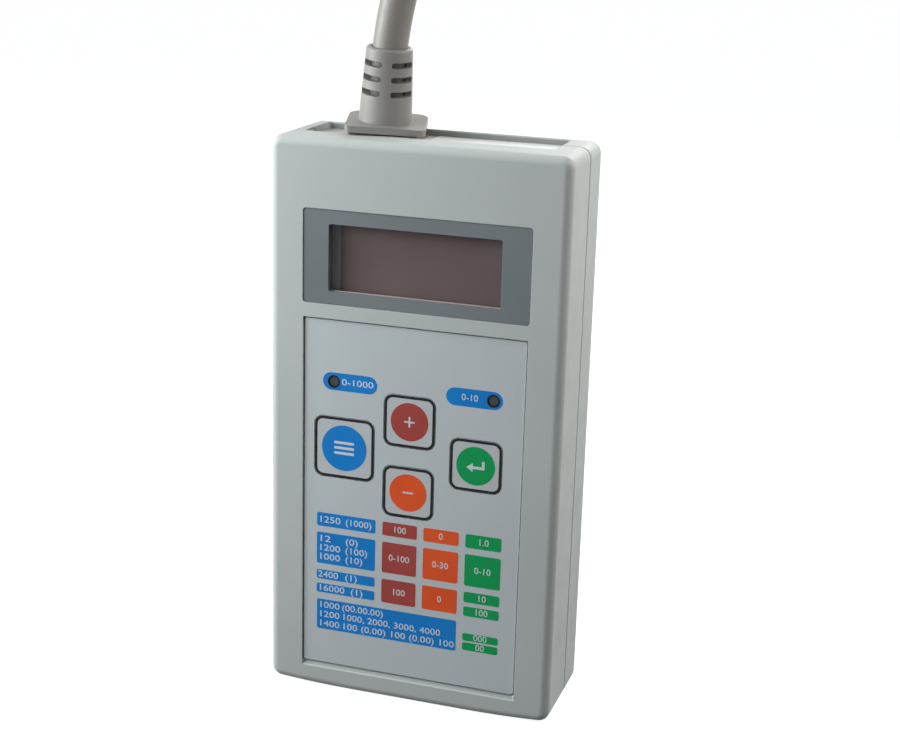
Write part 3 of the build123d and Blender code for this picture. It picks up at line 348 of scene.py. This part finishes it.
finishes = {
    # Painted shade on the case: dark boxes that darken the seam's groove, the recess's back wall and the
    # upper half of the keypad's lip, where shade falls
    "shell": {"colour": (188, 193, 190), "roughness": 0.46, "drift": 2.0, "driftSize": 45.0, "speckle": 0.025,
              "speckleSize": 0.4, "grain": 0.04, "grainSize": 0.4, "grainStrength": 0.4, "shine": 0.15,
              "roundEdge": 0.35,
              "dark": [{"Y": (2.75, 3.25), "level": 0.25},
                       {"Y": (15.9, 16.1), "Z": (197.9, 199.6), "level": 0.6},
                       {"X": (-41.0, 41.0), "Y": (-19.7, -18.0), "Z": (7.0, 9.39), "level": 0.72}]},
    "end_panel": {"colour": (196, 192, 182), "roughness": 0.4, "drift": 3.0, "grainSize": 0.5,
                  "roundEdge": 0.25},
    "label": {"colour": (236, 237, 235), "roughness": 0.35, "drift": 2.0, "grain": 0.01, "grainSize": 1.5},
    "slate_frame": {"colour": (104, 111, 114), "roughness": 0.42, "drift": 3.0, "speckle": 0.02,
                    "speckleSize": 0.4, "grain": 0.03, "grainSize": 0.5, "grainStrength": 0.6,
                    "roundEdge": 0.2},
    "clear_window": {"colour": (70, 64, 62), "roughness": 0.1, "roughSpread": 0.02, "drift": 1.0,
                     "alpha": 0.12, "grain": 0.001, "grainSize": 20.0, "grainStrength": 0.05},
    "lcd_screen": {"colour": (172, 176, 174), "roughness": 0.4, "drift": 3.0, "driftSize": 25.0,
                   "grain": 0.002, "grainSize": 4.0},
    "screenBrown": {"colour": (123, 105, 102), "drift": 3.0, "driftSize": 22.0, "shine": 0.2, "grain": 0.001,
                    "grainSize": 9.0, "grainStrength": 0.05},
    # Painted highlight: the pale colour of the ledge at the lower rim of the display's opening
    "paintedRimHighlight": {"colour": (196, 180, 174), "roughness": 0.35, "driftSize": 8.0, "grain": 0.004},
    "backlight_panel": {"colour": (214, 219, 216), "roughness": 0.3, "grain": 0.01},
    "circuit_board": {"colour": (30, 86, 48), "roughness": 0.35, "drift": 6.0, "driftSize": 8.0,
                      "grain": 0.03, "grainSize": 1.2, "coat": 0.3},
    "keypad_film": {"colour": (190, 196, 198), "roughness": 0.4, "shine": 0.3, "drift": 1.5,
                    "driftSize": 40.0, "speckle": 0.02, "grain": 0.015, "grainSize": 0.45,
                    "grainStrength": 0.45},
    "key_film": {"colour": (188, 192, 193), "roughness": 0.4, "shine": 0.3, "drift": 1.5, "driftSize": 20.0,
                 "speckle": 0.02, "grain": 0.015, "grainSize": 0.45, "grainStrength": 0.45},
    "clear_film": {"colour": (206, 199, 180), "roughness": 0.3, "drift": 3.0, "grain": 0.01},
    "dark_light": {"colour": (46, 47, 50), "roughness": 0.4, "drift": 3.0, "driftSize": 2.0, "grain": 0.01,
                   "shine": 0.3, "coat": 0.1},
    "steel": {"colour": (160, 160, 162), "roughness": 0.32, "metal": 1.0, "drift": 6.0, "driftSize": 5.0,
              "grain": 0.01, "grainSize": 0.8},
    "brass_metal": {"colour": (205, 175, 110), "roughness": 0.28, "metal": 1.0, "drift": 8.0,
                    "driftSize": 6.0, "grain": 0.01, "grainSize": 1.0},
    "can_metal": {"colour": (192, 194, 198), "roughness": 0.3, "metal": 1.0, "drift": 6.0, "grain": 0.01},
    "black_plastic": {"colour": (34, 34, 36), "driftSize": 6.0, "roundEdge": 0.2},
    "green_plastic": {"colour": (44, 122, 76), "roughness": 0.42, "drift": 5.0, "driftSize": 6.0,
                      "roundEdge": 0.2},
    "fuse_glass": {"colour": (224, 230, 228), "roughness": 0.08, "roughSpread": 0.02, "alpha": 0.45,
                   "drift": 2.0, "grain": 0.004},
    # The lead has painted shade inside its boot, where the slots show it: a box darkens its colour there
    "lead_rubber": {"colour": (132, 127, 121), "roughness": 0.4, "drift": 2.5, "driftSize": 18.0,
                    "speckle": 0.012, "grain": 0.015, "grainSize": 1.6, "grainStrength": 0.3, "shine": 0.4,
                    "dark": [{"X": (-28.0, -10.0), "Y": (-5.0, 13.0), "Z": (195.0, 228.0), "level": 0.3}]},
    "bootRubber": {"colour": (136, 133, 128), "roughness": 0.42, "drift": 2.5, "driftSize": 18.0,
                   "speckle": 0.015, "speckleSize": 0.45, "grain": 0.025, "grainSize": 0.7,
                   "grainStrength": 0.35, "shine": 0.4, "roundEdge": 0.25},
    # Painted shade: a dark finish for the boot's bore faces, seen through its slots
    "paintedSlotShade": {"colour": (52, 44, 42), "roughness": 0.6, "drift": 5.0, "driftSize": 3.0},
    "core_sheath": {"colour": (118, 72, 42), "roughness": 0.4, "drift": 6.0, "driftSize": 10.0},
    "plug_plastic": {"colour": (176, 180, 177), "roughness": 0.4, "drift": 3.0, "driftSize": 20.0,
                     "speckle": 0.02, "speckleSize": 0.6, "grainSize": 0.5, "roundEdge": 0.4},
    "blueInk": inkFinish((20, 124, 200)),
    "redInk": inkFinish((160, 68, 62)),
    "orangeInk": inkFinish((226, 86, 40)),
    "greenInk": inkFinish((0, 148, 80)),
    "blackInk": {"colour": (19, 19, 20), "roughness": 0.4, "shine": 0.15, "drift": 3.0, "driftSize": 8.0,
                 "grain": 0.01, "grainSize": 0.45},
    "whiteInk": {"colour": (206, 214, 219), "roughness": 0.45, "shine": 0.2, "drift": 2.0, "driftSize": 6.0,
                 "grain": 0.01, "grainSize": 0.45},
}

materials = {name: makeFinish(name, finish) for name, finish in finishes.items()}
nodeSlots = {part["node"]: part["material_slot"] for part in frame["record"]["subparts"]}


def paint(piece, materialName):
    piece.data.materials.clear()
    piece.data.materials.append(materials[materialName])


for nodeName, node in frame["nodes"].items():
    paint(node, nodeSlots[nodeName])
paint(lead, "lead_rubber")
print("finishes made:", len(materials))


# Boot of the lead, as it stands in the photograph: turned, leaning and a little raised on the end panel
bootPlan = {
    "cadFoot": (-18.5, 4.75, 202.4),
    "cadTilt": 4.0,
    "foot": (-20.34, 4.43, 203.8),
    "turns": (3.73, 3.09, 15.92),
    "twist": -15.5,
    "lean": 1.0,
    "fixedBelow": 197.9,
    "cadRadii": (9.7, 8.25),
    "radii": (9.1, 7.83),
    "boreRadius": 6.9,
    "tubeFrom": -0.01,
    "flangeFrom": 10.6,
    "flangeStretch": (0.948, 1.18),
    "cadHeights": (-30.0, -2.6, 0.0, 9.4, 11.8, 14.4, 16.8, 19.4, 21.8, 26.1),
    "heights": (-29.6, -2.2, 0.0, 9.3, 11.25, 14.15, 16.1, 19.0, 20.95, 25.1),
    "shoulder": {"low": 197.0, "high": 198.0, "from": 14.8, "share": 0.86},
    "sharpAngle": 28.0,
    "shadeWithin": 6.5,
}
joinWithin = 0.001


# A node's mesh as a new one, with corners that lie within joinWithin of each other made one
def mergedMesh(nodeName):
    mesh = frame["nodes"][nodeName].data.copy()
    shape = bmesh.new()
    shape.from_mesh(mesh)
    bmesh.ops.remove_doubles(shape, verts=shape.verts, dist=joinWithin * mm)
    shape.to_mesh(mesh)
    shape.free()
    return mesh


def meshPoints(mesh):
    flat = np.zeros(len(mesh.vertices) * 3)
    mesh.vertices.foreach_get("co", flat)
    return flat.reshape(-1, 3)


# Turns about X, then Y, then Z of the turned piece, in degrees, as one matrix
def turnMatrix(*degrees):
    angles = np.radians(degrees)
    (cx, cy, cz), (sx, sy, sz) = np.cos(angles), np.sin(angles)
    turnX = np.array([(1, 0, 0), (0, cx, -sx), (0, sx, cx)])
    turnY = np.array([(cy, 0, sy), (0, 1, 0), (-sy, 0, cy)])
    turnZ = np.array([(cz, -sz, 0), (sz, cz, 0), (0, 0, 1)])
    return turnX @ turnY @ turnZ


# The boot's points above the panel are read along its own axis. Their height follows the table of heights,
# those of the tapered wall keep their direction while their distance from the axis takes the new taper's
# ratio, the flange is stretched along its sides, and the tube twists and leans. All are then placed by the
# new foot and turns.
def raisedPoints(local, away, plan):
    flange = away > plan["flangeFrom"]
    rise = np.clip(local[:, 2] / plan["cadHeights"][-1], 0, 1)
    (cadFoot, cadTop), (foot, top) = plan["cadRadii"], plan["radii"]
    taper = (foot + (top - foot) * rise) / (cadFoot + (cadTop - cadFoot) * rise)
    taper = np.where(away > plan["boreRadius"], taper, 1.0)
    stretched = [local[:, side] * np.where(flange, plan["flangeStretch"][side], taper) for side in (0, 1)]
    height = np.interp(local[:, 2], plan["cadHeights"], plan["heights"])
    local = np.stack([*stretched, height], 1)
    tube = (height > plan["tubeFrom"]) & ~flange
    local = np.where(tube[:, None], local @ turnMatrix(0, plan["lean"], plan["twist"]).T, local)
    return local @ turnMatrix(*plan["turns"]).T + plan["foot"]


# The shoulder's outer points, just under the panel's top, turn about the foot's upright line with the boot
# and come nearer to it by the shoulder's share. Points under them stay where the node has them.
def bootPoints(points, local, away, plan):
    shoulder, height = plan["shoulder"], points[:, 2]
    outer = (height > shoulder["low"]) & (height < shoulder["high"]) & (away > shoulder["from"])
    cadMiddle, middle = ((*plan[foot][:2], 0.0) for foot in ("cadFoot", "foot"))
    turned = (points - cadMiddle) @ turnMatrix(0, 0, plan["turns"][2]).T
    drawnIn = turned * (shoulder["share"], shoulder["share"], 1) + middle
    above = np.where(height[:, None] > plan["fixedBelow"], raisedPoints(local, away, plan), points)
    return np.where(outer[:, None], drawnIn, above)


# Faces of the bore, where no corner is farther from the axis than shadeWithin
def boreFaces(mesh, away, plan):
    corners = np.zeros(len(mesh.loops), int)
    mesh.loops.foreach_get("vertex_index", corners)
    starts = np.zeros(len(mesh.polygons), int)
    mesh.polygons.foreach_get("loop_start", starts)
    return np.maximum.reduceat(away[corners], starts) < plan["shadeWithin"]


def makeBoot(plan):
    mesh = mergedMesh("cable_boot")
    points = meshPoints(mesh) / mm
    local = (points - plan["cadFoot"]) @ turnMatrix(plan["cadTilt"], 0, 0)
    away = np.hypot(local[:, 0], local[:, 1])
    mesh.vertices.foreach_set("co", (bootPoints(points, local, away, plan) * mm).ravel())
    if "custom_normal" in mesh.attributes:
        mesh.attributes.remove(mesh.attributes["custom_normal"])
    mesh.shade_smooth()
    mesh.set_sharp_from_angle(angle=np.radians(plan["sharpAngle"]))
    mesh.update()
    boot = addObject("flexBoot", mesh)
    paint(boot, "bootRubber")
    # The bore faces take the dark finish of painted shade
    mesh.materials.append(materials["paintedSlotShade"])
    mesh.polygons.foreach_set("material_index", boreFaces(mesh, away, plan).astype(int))
    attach(boot, rootBody)
    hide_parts("cable_boot")


# White plate on the end panel: the node's own, with its left edge brought nearer to the boot
platePlan = {"cadLeft": 0.0, "left": -4.4, "within": 1.0}


def makePlate(plan):
    mesh = mergedMesh("top_label")
    for corner in mesh.vertices:
        if abs(corner.co.x - plan["cadLeft"] * mm) < plan["within"] * mm:
            corner.co.x = plan["left"] * mm
    plate = addObject("whitePlate", mesh)
    paint(plate, "label")
    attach(plate, rootBody)
    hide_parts("top_label")


makeBoot(bootPlan)
makePlate(platePlan)
print("boot and plate set on the panel")


# Forms of the front. Each stands on rings of points, which are an outline of X and Z places at one Y.
def ringPoints(outline, y):
    return np.stack([outline[:, 0], np.full(len(outline), y), outline[:, 1]], 1)


# Four-cornered faces between two rings, given by the number of each ring's first point
def wallFaces(count, here, there):
    index = np.arange(count)
    following = (index + 1) % count
    return np.stack([index + here, following + here, following + there, index + there], 1).tolist()


# Closed form: an outline carried along Y from foot to top, with both ends
def closedForm(outline, foot, top):
    count = len(outline)
    ends = [list(range(count))[::-1], list(range(count, 2 * count))]
    return np.vstack([ringPoints(outline, foot), ringPoints(outline, top)]), wallFaces(count, 0, count) + ends


def makePiece(name, forms, materialName, body):
    vertices, faces, start = [], [], 0
    for points, polygons in forms:
        vertices.append(points)
        faces += [[corner + start for corner in polygon] for polygon in polygons]
        start += len(points)
    mesh = bpy.data.meshes.new(name)
    mesh.from_pydata(np.vstack(vertices).tolist(), [], faces)
    mesh.validate()
    piece = addObject(name, mesh)
    paint(piece, materialName)
    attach(piece, body)


# Display: a brown pane on the glass, and a thin ledge at the lower rim of the frame's opening, painted pale
# as a highlight where that rim catches the light.
# Each is a flat block, from low to high corner in X, Y and Z.
displayPlan = {
    "screenPane": {"low": (-28.4, -15.16, 147.0), "high": (31.5, -15.08, 173.0), "finish": "screenBrown"},
    "screenLedge": {"low": (-29.6, -18.75, 147.96), "high": (29.6, -17.42, 148.06), "finish": "paintedRimHighlight"},
}


def makeDisplay(plan):
    for name, block in plan.items():
        (left, front, bottom), (right, back, top) = block["low"], block["high"]
        outline = np.array([(left, bottom), (right, bottom), (right, top), (left, top)]) * mm
        makePiece(name, [closedForm(outline, back * mm, front * mm)], block["finish"], rootBody)


# Print on the keypad film: thin forms of ink, whose first layer starts just inside the film's surface and
# whose second one, for figures, rings and signs, starts higher by the amount second
inkPlan = {"film": -19.4, "sunk": 0.01, "thickness": 0.035, "second": 0.02, "cornerSteps": 7, "discSteps": 72,
           "figureSteps": 3, "figureWeight": 0.006}


# Foot and top of a layer of ink, as places along Y
def inkSpan(layer):
    surface = inkPlan["film"] - layer * inkPlan["second"]
    return (surface + inkPlan["sunk"]) * mm, (surface - inkPlan["thickness"]) * mm


# Outline of a rectangle with round corners: for each corner a quarter turn of its radius about its centre
def roundedOutline(x, z, width, height, radius):
    turn = np.linspace(0, np.pi / 2, inkPlan["cornerSteps"])
    angle = (np.arange(4) * np.pi / 2)[:, None] + turn[None, :]
    signs = np.array([(1, 1), (-1, 1), (-1, -1), (1, -1)])
    centre = signs * np.array([width / 2 - radius, height / 2 - radius])
    across = x + centre[:, :1] + radius * np.cos(angle)
    up = z + centre[:, 1:] + radius * np.sin(angle)
    return np.stack([across.ravel(), up.ravel()], 1) * mm


# Outline of a disc: equal steps of a full turn
def discOutline(x, z, radius):
    angle = np.arange(inkPlan["discSteps"]) * 2 * np.pi / inkPlan["discSteps"]
    return np.stack([x + radius * np.cos(angle), z + radius * np.sin(angle)], 1) * mm


# A form with a round hole: its outline in equal steps of length, and each of these points drawn straight
# towards the hole's centre until it is the hole's radius away
def holedOutline(outline, centre, radius, count):
    closed = np.vstack([outline, outline[:1]])
    reach = np.concatenate([[0], np.cumsum(np.linalg.norm(np.diff(closed, axis=0), axis=1))])
    steps = np.arange(count) * reach[-1] / count
    outer = np.stack([np.interp(steps, reach, closed[:, side]) for side in (0, 1)], 1)
    away = outer - np.array(centre) * mm
    away /= np.linalg.norm(away, axis=1, keepdims=True)
    return outer, np.array(centre) * mm + away * radius * mm


def flatForm(outline, layer=0):
    return closedForm(outline, *inkSpan(layer))


# Band: two outlines with the same number of points, joined over the ink's top and its foot
def bandForm(outer, inner, layer=0):
    foot, top = inkSpan(layer)
    count = len(outer)
    rings = [ringPoints(*ring) for ring in ((outer, foot), (outer, top), (inner, top), (inner, foot))]
    faces = []
    for ring in range(len(rings)):
        faces += wallFaces(count, ring * count, (ring + 1) % len(rings) * count)
    return np.vstack(rings), faces


# Figures are set as Blender text and turned to a mesh on the ink. A width stretches them from their left end,
# and without one x is their middle.
def figureForm(text, x, z, size, width=None):
    foot, top = inkSpan(1)
    data = bpy.data.curves.new("figures", "FONT")
    data.body = text
    data.size = size * mm
    data.align_x = "LEFT" if width else "CENTER"
    data.align_y = "CENTER"
    data.offset = inkPlan["figureWeight"] * size * mm
    data.extrude = (foot - top) / 2
    data.resolution_u = inkPlan["figureSteps"]
    holder = addObject("figures", data)
    bpy.context.view_layer.update()
    mesh = bpy.data.meshes.new_from_object(holder.evaluated_get(bpy.context.evaluated_depsgraph_get()))
    flat = meshPoints(mesh)
    if width:
        flat[:, 0] *= width * mm / (flat[:, 0].max() - flat[:, 0].min())
    points = np.stack([flat[:, 0] + x * mm, (foot + top) / 2 - flat[:, 2], flat[:, 1] + z * mm], 1)
    faces = [list(polygon.vertices) for polygon in mesh.polygons]
    bpy.data.objects.remove(holder)
    bpy.data.meshes.remove(mesh)
    return points, faces


# Chart under the keys. A block has its left, right, bottom and top edge. Left figures have their text, left
# end, place along Z and width, and middle figures their text, middle and place along Z.
chartPlan = {
    "radius": 0.7,
    "blueInk": [(-34.7, -12.65, 62.4, 67.5), (-34.7, -12.65, 48.2, 60.05), (-34.7, -12.65, 42.2, 45.75),
                (-34.7, -12.65, 37.0, 40.5), (-34.5, 18.0, 22.9, 34.4)],
    "redInk": [(-10.05, 2.7, 62.4, 67.45), (-10.05, 2.7, 48.4, 59.95), (-10.05, 2.7, 36.95, 45.9)],
    "orangeInk": [(5.1, 18.0, 62.4, 67.45), (5.1, 18.0, 48.4, 59.95), (5.1, 18.0, 36.95, 45.9)],
    "greenInk": [(20.4, 33.35, 62.4, 67.45), (20.4, 33.35, 48.25, 60.0), (20.4, 33.35, 42.0, 45.95),
                 (20.4, 33.35, 36.85, 40.45), (20.4, 33.35, 27.5, 30.3), (20.4, 33.35, 23.85, 26.8)],
    "figureSize": 3.35,
    "leftFigures": [("1250", -34.2, 64.9, 7.6), ("(1000)", -24.0, 64.9, 9.6), ("12", -34.2, 57.6, 3.8),
                    ("(0)", -24.0, 57.6, 4.6), ("1200", -34.2, 54.2, 7.6), ("(100)", -24.0, 54.2, 8.2),
                    ("1000", -34.2, 50.8, 7.6), ("(10)", -24.0, 50.8, 6.4), ("2400", -34.2, 43.95, 7.6),
                    ("(1)", -24.0, 43.95, 4.4), ("16000", -34.2, 38.75, 9.4), ("(1)", -21.8, 38.75, 4.4),
                    ("1000", -34.0, 32.2, 7.4), ("(00.00.00)", -25.0, 32.2, 15.5), ("1200", -34.0, 28.6, 7.4),
                    ("1000, 2000, 3000, 4000", -25.0, 28.6, 36.5), ("1400", -34.0, 25.0, 7.4),
                    ("100 (0.00) 100 (0.00) 100", -25.0, 25.0, 41.6)],
    "middleFigures": [("100", -3.7, 64.9), ("0-100", -3.7, 54.2), ("100", -3.7, 41.4), ("0", 11.5, 64.9),
                      ("0-30", 11.5, 54.2), ("0", 11.5, 41.4), ("1.0", 26.9, 64.9), ("0-10", 26.9, 54.2),
                      ("10", 26.9, 43.95), ("100", 26.9, 38.65), ("000", 26.9, 28.9), ("00", 26.9, 25.3)],
}


def makeChart(plan):
    for ink in ("blueInk", "redInk", "orangeInk", "greenInk"):
        forms = []
        for left, right, low, high in plan[ink]:
            x, z = (left + right) / 2, (low + high) / 2
            forms.append(flatForm(roundedOutline(x, z, right - left, high - low, plan["radius"])))
        makePiece(ink.replace("Ink", "Chart"), forms, ink, rootBody)
    size = plan["figureSize"]
    forms = [figureForm(text, x, z, size, width) for text, x, z, width in plan["leftFigures"]]
    forms += [figureForm(text, x, z, size) for text, x, z in plan["middleFigures"]]
    makePiece("chartFigures", forms, "whiteInk", rootBody)


makeDisplay(displayPlan)
makeChart(chartPlan)
print("screen set and chart printed")

# Pills round the two lights. A span has the pill's left and right edge and its light's place along X.
# Figures have their text, left end, size and width.
pillPlan = {
    "height": 6.3,
    "middle": 116.3,
    "endRadius": 3.14,
    "spans": [(-32.8, -12.8, -28.7), (12.0, 32.0, 28.7)],
    "lightHeight": 116.2,
    "hole": 2.25,
    "window": 2.3,
    "ring": 0.45,
    "steps": 240,
    "figures": [("0-1000", -25.9, 3.2, 11.6), ("0-10", 17.4, 3.2, 5.8)],
}


def makePills(plan):
    middle, pills, rings = plan["middle"], [], []
    for left, right, light in plan["spans"]:
        centre = (light, plan["lightHeight"])
        pill = roundedOutline((left + right) / 2, middle, right - left, plan["height"], plan["endRadius"])
        pills.append(bandForm(*holedOutline(pill, centre, plan["hole"], plan["steps"])))
        edges = [discOutline(*centre, radius) for radius in (plan["window"], plan["window"] - plan["ring"])]
        rings.append(bandForm(*edges, 1))
    figures = [figureForm(text, x, middle, size, width) for text, x, size, width in plan["figures"]]
    makePiece("lightPills", pills, "blueInk", rootBody)
    makePiece("lightRings", rings, "blackInk", rootBody)
    makePiece("pillFigures", figures, "whiteInk", rootBody)


makePills(pillPlan)

# Print of each key: black line at its edge, coloured disc and a pale sign
keyPlan = {
    "mode": {"x": -24.7, "z": 92.4, "side": 22.1, "disc": 8.3, "ink": "blueInk"},
    "plus": {"x": -0.9, "z": 105.0, "side": 18.5, "disc": 6.8, "ink": "redInk"},
    "minus": {"x": -0.9, "z": 79.3, "side": 18.5, "disc": 6.8, "ink": "orangeInk"},
    "enter": {"x": 23.2, "z": 92.4, "side": 18.5, "disc": 6.9, "ink": "greenInk"},
    "line": 0.95,
    "corner": 3.2,
    "inset": 0.05,
}
# Signs about the middle of their key: half is an arm's half length and thick its half thickness
signPlan = {
    "half": 1.9,
    "thick": 0.29,
    "minusRadius": 0.1,
    "barHeights": (1.9, 0.0, -1.9),
    "barWidth": 7.4,
    "barThickness": 0.95,
    "barRadius": 0.3,
    "arrow": [(3.2, 1.9), (2.25, 1.9), (2.25, -0.1), (-1.0, -0.1), (-1.0, 1.0), (-3.3, -0.6), (-1.0, -2.2),
              (-1.0, -1.1), (3.2, -1.1)],
}


def signOutlines(name, x, z, plan):
    half, thick = plan["half"], plan["thick"]
    if name == "minus":
        return [roundedOutline(x, z, 2 * half, 2 * thick, plan["minusRadius"])]
    if name == "mode":
        bar = (plan["barWidth"], plan["barThickness"], plan["barRadius"])
        return [roundedOutline(x, z + height, *bar) for height in plan["barHeights"]]
    plus = [(thick, thick), (thick, half), (-thick, half), (-thick, thick), (-half, thick), (-half, -thick),
            (-thick, -thick), (-thick, -half), (thick, -half), (thick, -thick), (half, -thick), (half, thick)]
    corners = {"plus": plus, "enter": plan["arrow"]}[name]
    return [(np.array(corners, float) + (x, z)) * mm]


def makeKeyPrint(name, plan):
    key = plan[name]
    x, z, side = key["x"], key["z"], key["side"] - 2 * plan["inset"]
    inner = side - 2 * plan["line"]
    corner = plan["corner"] - plan["inset"]
    outer = roundedOutline(x, z, side, side, corner)
    border = bandForm(outer, roundedOutline(x, z, inner, inner, corner - plan["line"]))
    signs = [flatForm(outline, 1) for outline in signOutlines(name, x, z, signPlan)]
    makePiece(name + "Border", [border], "blackInk", name + "_key")
    makePiece(name + "Disc", [flatForm(discOutline(x, z, key["disc"]))], key["ink"], name + "_key")
    makePiece(name + "Sign", signs, "whiteInk", name + "_key")


def makeDome(name):
    nodeName = name + "_dome"
    dome = addObject(name + "Snap", mergedMesh(nodeName))
    paint(dome, nodeSlots[nodeName])
    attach(dome, rootBody)
    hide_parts(nodeName)
    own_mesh(dome)


for keyName in ("mode", "plus", "minus", "enter"):
    makeKeyPrint(keyName, keyPlan)
    makeDome(keyName)
print("keys and lights printed")

# Room, in metres: pale floor under a pale sky, and four soft lamps
roomPlan = {
    "floorSize": 12.0,
    "floorSeen": 0.4,
    "floorGlow": 0.9,
    "floorBounce": 0.07,
    "skyLight": 0.24,
    "skyColour": (0.95, 0.98, 1.0, 1.0),
    "lamps": [
        {"name": "rightLamp", "place": (0.3, 0.04, 0.36), "aim": (0, 0, 0.15), "size": 0.3, "power": 0.87,
         "colour": (1.0, 0.99, 0.97)},
        {"name": "frontLamp", "place": (-0.343, -0.242, 0.32), "aim": (0, 0, 0.15), "size": 0.36,
         "power": 2.1, "colour": (0.94, 0.98, 1.0)},
        {"name": "leftLamp", "place": (-0.55, -0.12, 0.32), "aim": (0, 0, 0.2), "size": 0.3, "power": 2.2,
         "colour": (0.88, 0.96, 1.0)},
        {"name": "backLamp", "place": (0.1, 1.1, 0.75), "aim": (0, 0, 0.12), "size": 0.8, "power": 6.0,
         "colour": (1.0, 1.0, 1.0)},
    ],
}


# Floor and sky show one shader to rays from the camera and from what mirrors or passes them, and light the
# object with the other
def chooseShader(tree, lighting, seen, outputKind):
    rays = tree.nodes.new("ShaderNodeLightPath")
    share = rays.outputs["Is Camera Ray"]
    for name in ("Is Glossy Ray", "Is Transmission Ray"):
        share = mathNode(tree, "MAXIMUM", share, rays.outputs[name])
    choice = tree.nodes.new("ShaderNodeMixShader")
    tree.links.new(share, choice.inputs["Fac"])
    tree.links.new(lighting.outputs[0], choice.inputs[1])
    tree.links.new(seen.outputs[0], choice.inputs[2])
    output = tree.nodes.new(outputKind)
    tree.links.new(choice.outputs["Shader"], output.inputs["Surface"])


def makeSky(plan):
    world = bpy.data.worlds.new("paleSky")
    tree = emptyTree(world)
    lighting = addNode(tree, "ShaderNodeBackground", Color=plan["skyColour"], Strength=plan["skyLight"])
    seen = addNode(tree, "ShaderNodeBackground", Color=(1, 1, 1, 1), Strength=1.0)
    chooseShader(tree, lighting, seen, "ShaderNodeOutputWorld")
    bpy.context.scene.world = world


def makeFloor(plan):
    half = plan["floorSize"] / 2
    mesh = bpy.data.meshes.new("floor")
    corners = [(-half, -half, 0), (half, -half, 0), (half, half, 0), (-half, half, 0)]
    mesh.from_pydata(corners, [], [(0, 1, 2, 3)])
    material = bpy.data.materials.new("paleFloor")
    tree = emptyTree(material)
    level, dim = plan["floorSeen"], plan["floorBounce"]
    lighting = addNode(tree, "ShaderNodeBsdfDiffuse", Color=(dim, dim, dim, 1))
    shown = addNode(tree, "ShaderNodeBsdfDiffuse", Color=(level, level, level, 1))
    glow = addNode(tree, "ShaderNodeEmission", Color=(1, 1, 1, 1), Strength=plan["floorGlow"])
    seen = tree.nodes.new("ShaderNodeAddShader")
    tree.links.new(shown.outputs["BSDF"], seen.inputs[0])
    tree.links.new(glow.outputs["Emission"], seen.inputs[1])
    chooseShader(tree, lighting, seen, "ShaderNodeOutputMaterial")
    mesh.materials.append(material)
    floor = addObject("floor", mesh)


# A lamp's own Z looks back from what it is aimed at, and its own X lies level
def makeLamp(lamp):
    data = bpy.data.lights.new(lamp["name"], "AREA")
    data.shape = "DISK"
    data.size = lamp["size"]
    data.energy = lamp["power"]
    data.color = lamp["colour"]
    back = np.array(lamp["place"], float) - lamp["aim"]
    back /= np.linalg.norm(back)
    side = np.cross((0, 0, 1), back)
    side /= np.linalg.norm(side)
    addObject(lamp["name"], data).matrix_world = standAt(lamp["place"], side, np.cross(back, side), back)


makeSky(roomPlan)
makeFloor(roomPlan)
for lamp in roomPlan["lamps"]:
    makeLamp(lamp)
print("room and lamps set")
